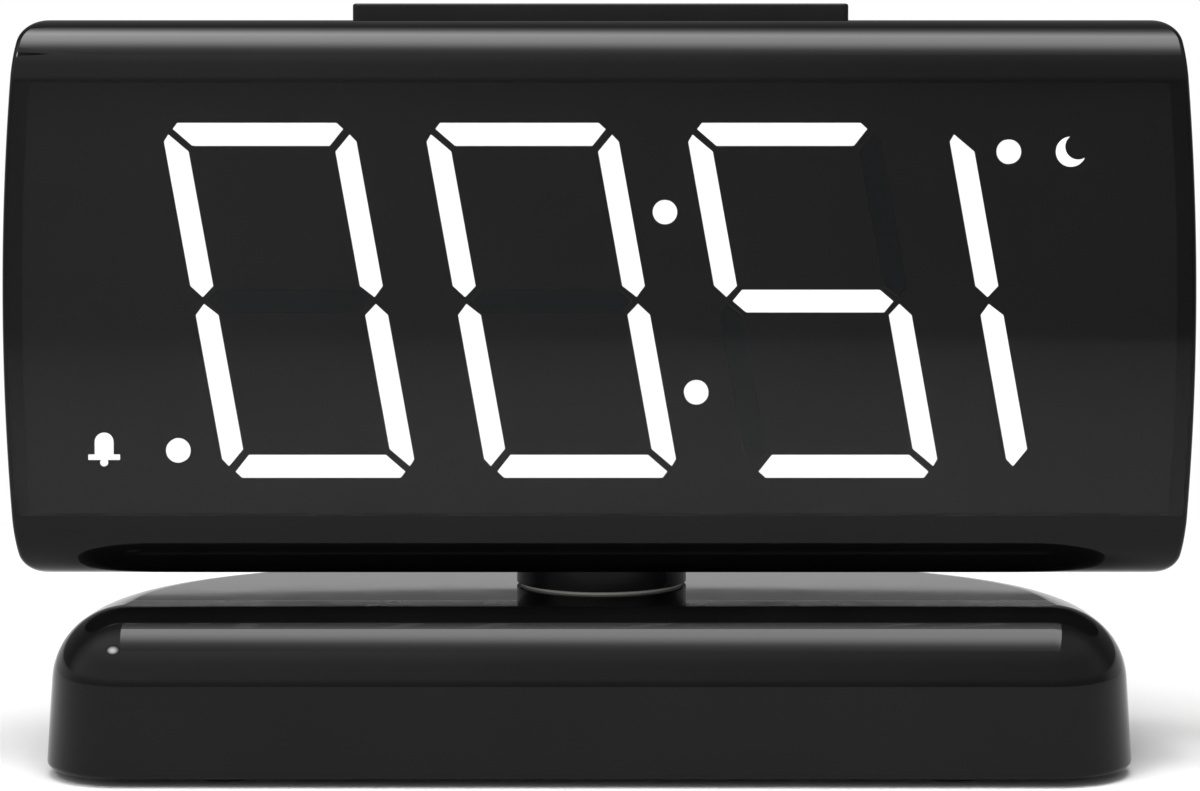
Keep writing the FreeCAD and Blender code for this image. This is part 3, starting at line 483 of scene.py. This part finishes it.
def softbox(name, centre, sx, sy, strength, lean, steps):
    """A diffusing panel overhead. It lights the scene and shows in the gloss. steps give its
    brightness from front to back, along a line that leans with x."""
    me = bpy.data.meshes.new(name)
    me.from_pydata([(-sx / 2, -sy / 2, 0), (sx / 2, -sy / 2, 0), (sx / 2, sy / 2, 0), (-sx / 2, sy / 2, 0)], [], [(3, 2, 1, 0)])
    o = bpy.data.objects.new(name, me)
    scene.collection.objects.link(o)
    o.location = centre
    o.visible_camera = False
    m = bpy.data.materials.new(name)
    m.use_nodes = True
    nt = m.node_tree
    nt.nodes.clear()
    out = nt.nodes.new("ShaderNodeOutputMaterial")
    em = nt.nodes.new("ShaderNodeEmission")
    tc = nt.nodes.new("ShaderNodeTexCoord")
    sp = nt.nodes.new("ShaderNodeSeparateXYZ")
    nt.links.new(tc.outputs["Object"], sp.inputs["Vector"])
    tilt = nt.nodes.new("ShaderNodeMath")
    tilt.operation = "MULTIPLY_ADD"
    tilt.inputs[1].default_value = lean
    nt.links.new(sp.outputs["X"], tilt.inputs[0])
    nt.links.new(sp.outputs["Y"], tilt.inputs[2])
    at = nt.nodes.new("ShaderNodeMapRange")
    at.inputs["From Min"].default_value = steps[0][0] - centre[1]
    at.inputs["From Max"].default_value = steps[-1][0] - centre[1]
    nt.links.new(tilt.outputs["Value"], at.inputs["Value"])
    ramp = nt.nodes.new("ShaderNodeValToRGB")
    ramp.color_ramp.interpolation = "EASE"
    span = steps[-1][0] - steps[0][0]
    for i, (y, level) in enumerate(steps):
        where = (y - steps[0][0]) / span
        if i == 0:
            el = ramp.color_ramp.elements[0]
        elif i == len(steps) - 1:
            el = ramp.color_ramp.elements[-1]
        else:
            el = ramp.color_ramp.elements.new(where)
        el.position = where
        el.color = (level / strength, level / strength, level / strength, 1)
    ramp.color_ramp.interpolation = "LINEAR"
    nt.links.new(at.outputs["Result"], ramp.inputs["Fac"])
    nt.links.new(ramp.outputs["Color"], em.inputs["Color"])
    em.inputs["Strength"].default_value = strength
    nt.links.new(em.outputs["Emission"], out.inputs["Surface"])
    me.materials.append(m)
    return o


softbox("overhead", (0.0275, -0.10, 0.90), 0.625, 1.12, 14.8, 0.23, (
    (-0.66, 1.8), (-0.53, 2.6), (-0.45, 3.8), (-0.37, 6.8), (-0.30, 10.2), (-0.22, 13.2), (-0.16, 14.5),
    (0.05, 13.8), (0.12, 9.8), (0.20, 5.1), (0.28, 2.0), (0.36, 0.9), (0.46, 0.3)))


def lamp(name, centre, radius, strength):
    """A small round lamp, brightest in the middle."""
    bm = bmesh.new()
    bmesh.ops.create_circle(bm, cap_ends=True, segments=48, radius=radius)
    me = bpy.data.meshes.new(name)
    bm.to_mesh(me)
    bm.free()
    o = bpy.data.objects.new(name, me)
    scene.collection.objects.link(o)
    o.location = centre
    o.visible_camera = False
    m = bpy.data.materials.new(name)
    m.use_nodes = True
    nt = m.node_tree
    nt.nodes.clear()
    out = nt.nodes.new("ShaderNodeOutputMaterial")
    em = nt.nodes.new("ShaderNodeEmission")
    tc = nt.nodes.new("ShaderNodeTexCoord")
    far = nt.nodes.new("ShaderNodeVectorMath")
    far.operation = "LENGTH"
    nt.links.new(tc.outputs["Object"], far.inputs[0])
    r = nt.nodes.new("ShaderNodeMapRange")
    r.interpolation_type = "SMOOTHSTEP"
    for key, value in (("From Min", radius), ("From Max", radius * 0.1), ("To Min", 0.0), ("To Max", strength)):
        r.inputs[key].default_value = value
    nt.links.new(far.outputs["Value"], r.inputs["Value"])
    nt.links.new(r.outputs["Result"], em.inputs["Strength"])
    nt.links.new(em.outputs["Emission"], out.inputs["Surface"])
    me.materials.append(m)
    return o


lamp("left_lamp", (-0.49, -0.60, 0.90), 0.19, 48.0)

cam_data = bpy.data.cameras.new("camera")
cam = bpy.data.objects.new("camera", cam_data)
scene.collection.objects.link(cam)
cam_data.sensor_width = 36.0
cam_data.lens = 2608.0 * 36.0 / 1200.0
cam_data.clip_start = 0.01
cam.location = (0.0048, -0.3805, 0.0800)
PITCH, YAW = 1.1, 0.0
cam.rotation_euler = (math.radians(90 - PITCH), 0, math.radians(YAW))
cam_data.shift_x = -34.1 / 1200 + math.tan(math.radians(YAW)) * 2608 / 1200
cam_data.shift_y = -(395.5 - 196.3) / 1200 + math.tan(math.radians(PITCH)) * 2608 / 1200
scene.camera = cam
